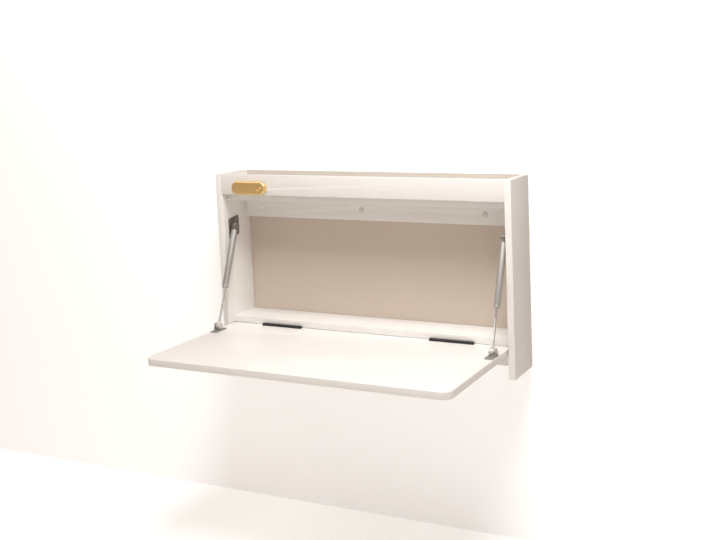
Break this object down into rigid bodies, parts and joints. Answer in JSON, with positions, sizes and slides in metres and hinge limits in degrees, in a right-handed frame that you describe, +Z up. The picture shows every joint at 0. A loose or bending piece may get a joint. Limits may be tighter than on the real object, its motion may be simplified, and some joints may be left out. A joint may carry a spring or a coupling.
{
  "type": "wall-mounted folding vanity table",
  "caption": "Shallow open wall cabinet with a tray on top and a front flap that folds down on butt hinges and gas struts into a table, closed by a turn button.",
  "frame": {"origin": "middle of the hanging rail's back face, on the wall", "axes": "+X along the cabinet to its right side as seen from the room, +Y into the wall, +Z up"},
  "size_m": [0.8, 0.4266, 0.456],
  "materials": {
    "white_board": "warm white satin coating on furniture board",
    "white_plastic": "smooth white moulded plastic",
    "grey_plastic": "smooth grey moulded plastic",
    "black_plastic": "fine matt black moulded plastic",
    "black_steel": "satin black coated steel",
    "grey_steel": "zinc plated steel, dull",
    "satin_steel": "satin plated steel",
    "strut_silver": "satin silver lacquer on steel tube",
    "rod_chrome": "hard chromed, polished",
    "bare_brass": "brushed bare brass"
  },
  "bodies": {
    "carcass": {"side_panel_left": "white_board", "side_panel_right": "white_board", "top_board": "white_board", "bottom_board": "white_board", "fascia": "white_board", "hanging_rail": "white_board", "lower_rail": "white_board", "fixing_cap_left": "white_plastic", "fixing_cap_middle": "grey_plastic", "fixing_cap_right": "grey_plastic", "stop_pin_left": "white_plastic", "stop_pin_right": "white_plastic", "hinge_leaf_fixed_left": "black_steel", "hinge_leaf_fixed_right": "black_steel", "hinge_pin_left": "black_steel", "hinge_pin_right": "black_steel", "hinge_screw_fixed_left_1": "black_steel", "hinge_screw_fixed_left_2": "black_steel", "hinge_screw_fixed_left_3": "black_steel", "hinge_screw_fixed_right_1": "black_steel", "hinge_screw_fixed_right_2": "black_steel", "hinge_screw_fixed_right_3": "black_steel", "upper_plate_left": "grey_steel", "upper_plate_right": "grey_steel", "upper_plate_screw_left_1": "grey_steel", "upper_plate_screw_left_2": "grey_steel", "upper_plate_screw_right_1": "grey_steel", "upper_plate_screw_right_2": "grey_steel", "turn_button_screw": "bare_brass", "turn_button_washer": "black_plastic"},
    "flap": {"flap": "white_board", "hinge_leaf_moving_left": "black_steel", "hinge_leaf_moving_right": "black_steel", "hinge_screw_moving_left_1": "black_steel", "hinge_screw_moving_left_2": "black_steel", "hinge_screw_moving_left_3": "black_steel", "hinge_screw_moving_right_1": "black_steel", "hinge_screw_moving_right_2": "black_steel", "hinge_screw_moving_right_3": "black_steel", "foot_bracket_left": "grey_steel", "foot_bracket_right": "grey_steel", "foot_screw_left_1": "grey_steel", "foot_screw_left_2": "grey_steel", "foot_screw_right_1": "grey_steel", "foot_screw_right_2": "grey_steel", "lower_ball_stud_left": "satin_steel", "lower_ball_stud_right": "satin_steel"},
    "rod_left": {"strut_rod_left": "rod_chrome", "rod_socket_left": "satin_steel"},
    "rod_right": {"strut_rod_right": "rod_chrome", "rod_socket_right": "satin_steel"},
    "tube_left": {"strut_tube_left": "strut_silver", "rod_guide_left": "black_plastic", "tube_socket_left": "satin_steel", "upper_ball_stud_left": "satin_steel"},
    "tube_right": {"strut_tube_right": "strut_silver", "rod_guide_right": "black_plastic", "tube_socket_right": "satin_steel", "upper_ball_stud_right": "satin_steel"},
    "turn_button": {"turn_button": "bare_brass"}
  },
  "joints": [
    {"name": "flap_hinge", "type": "hinge", "parent": "carcass", "child": "flap", "pos_m": [0, -0.0941, -0.2905], "axis": [-1, 0, 0], "range_deg": [0, 90]},
    {"name": "strut_foot_left", "type": "hinge", "parent": "flap", "child": "rod_left", "pos_m": [-0.37, -0.171, -0.28], "axis": [1, 0, 0], "range_deg": [0, 109.85]},
    {"name": "strut_foot_right", "type": "hinge", "parent": "flap", "child": "rod_right", "pos_m": [0.37, -0.171, -0.28], "axis": [1, 0, 0], "range_deg": [0, 109.85]},
    {"name": "strut_slide_left", "type": "slide", "parent": "rod_left", "child": "tube_left", "axis": [0, -0.3477, -0.9376], "range_m": [0, 0.0824]},
    {"name": "strut_slide_right", "type": "slide", "parent": "rod_right", "child": "tube_right", "axis": [0, -0.3477, -0.9376], "range_m": [0, 0.0824]},
    {"name": "turn_button_pivot", "type": "hinge", "parent": "carcass", "child": "turn_button", "pos_m": [-0.263, -0.1135, 0.0615], "axis": [0, -1, 0], "range_deg": [0, 90]}
  ],
  "couplings": [
    {"joint": "strut_foot_left", "follows": "flap_hinge", "ratio": 1.2202},
    {"joint": "strut_foot_right", "follows": "flap_hinge", "ratio": 1.2202},
    {"joint": "strut_slide_left", "follows": "flap_hinge", "m_per_rad": 0.052434},
    {"joint": "strut_slide_right", "follows": "flap_hinge", "m_per_rad": 0.052434}
  ]
}
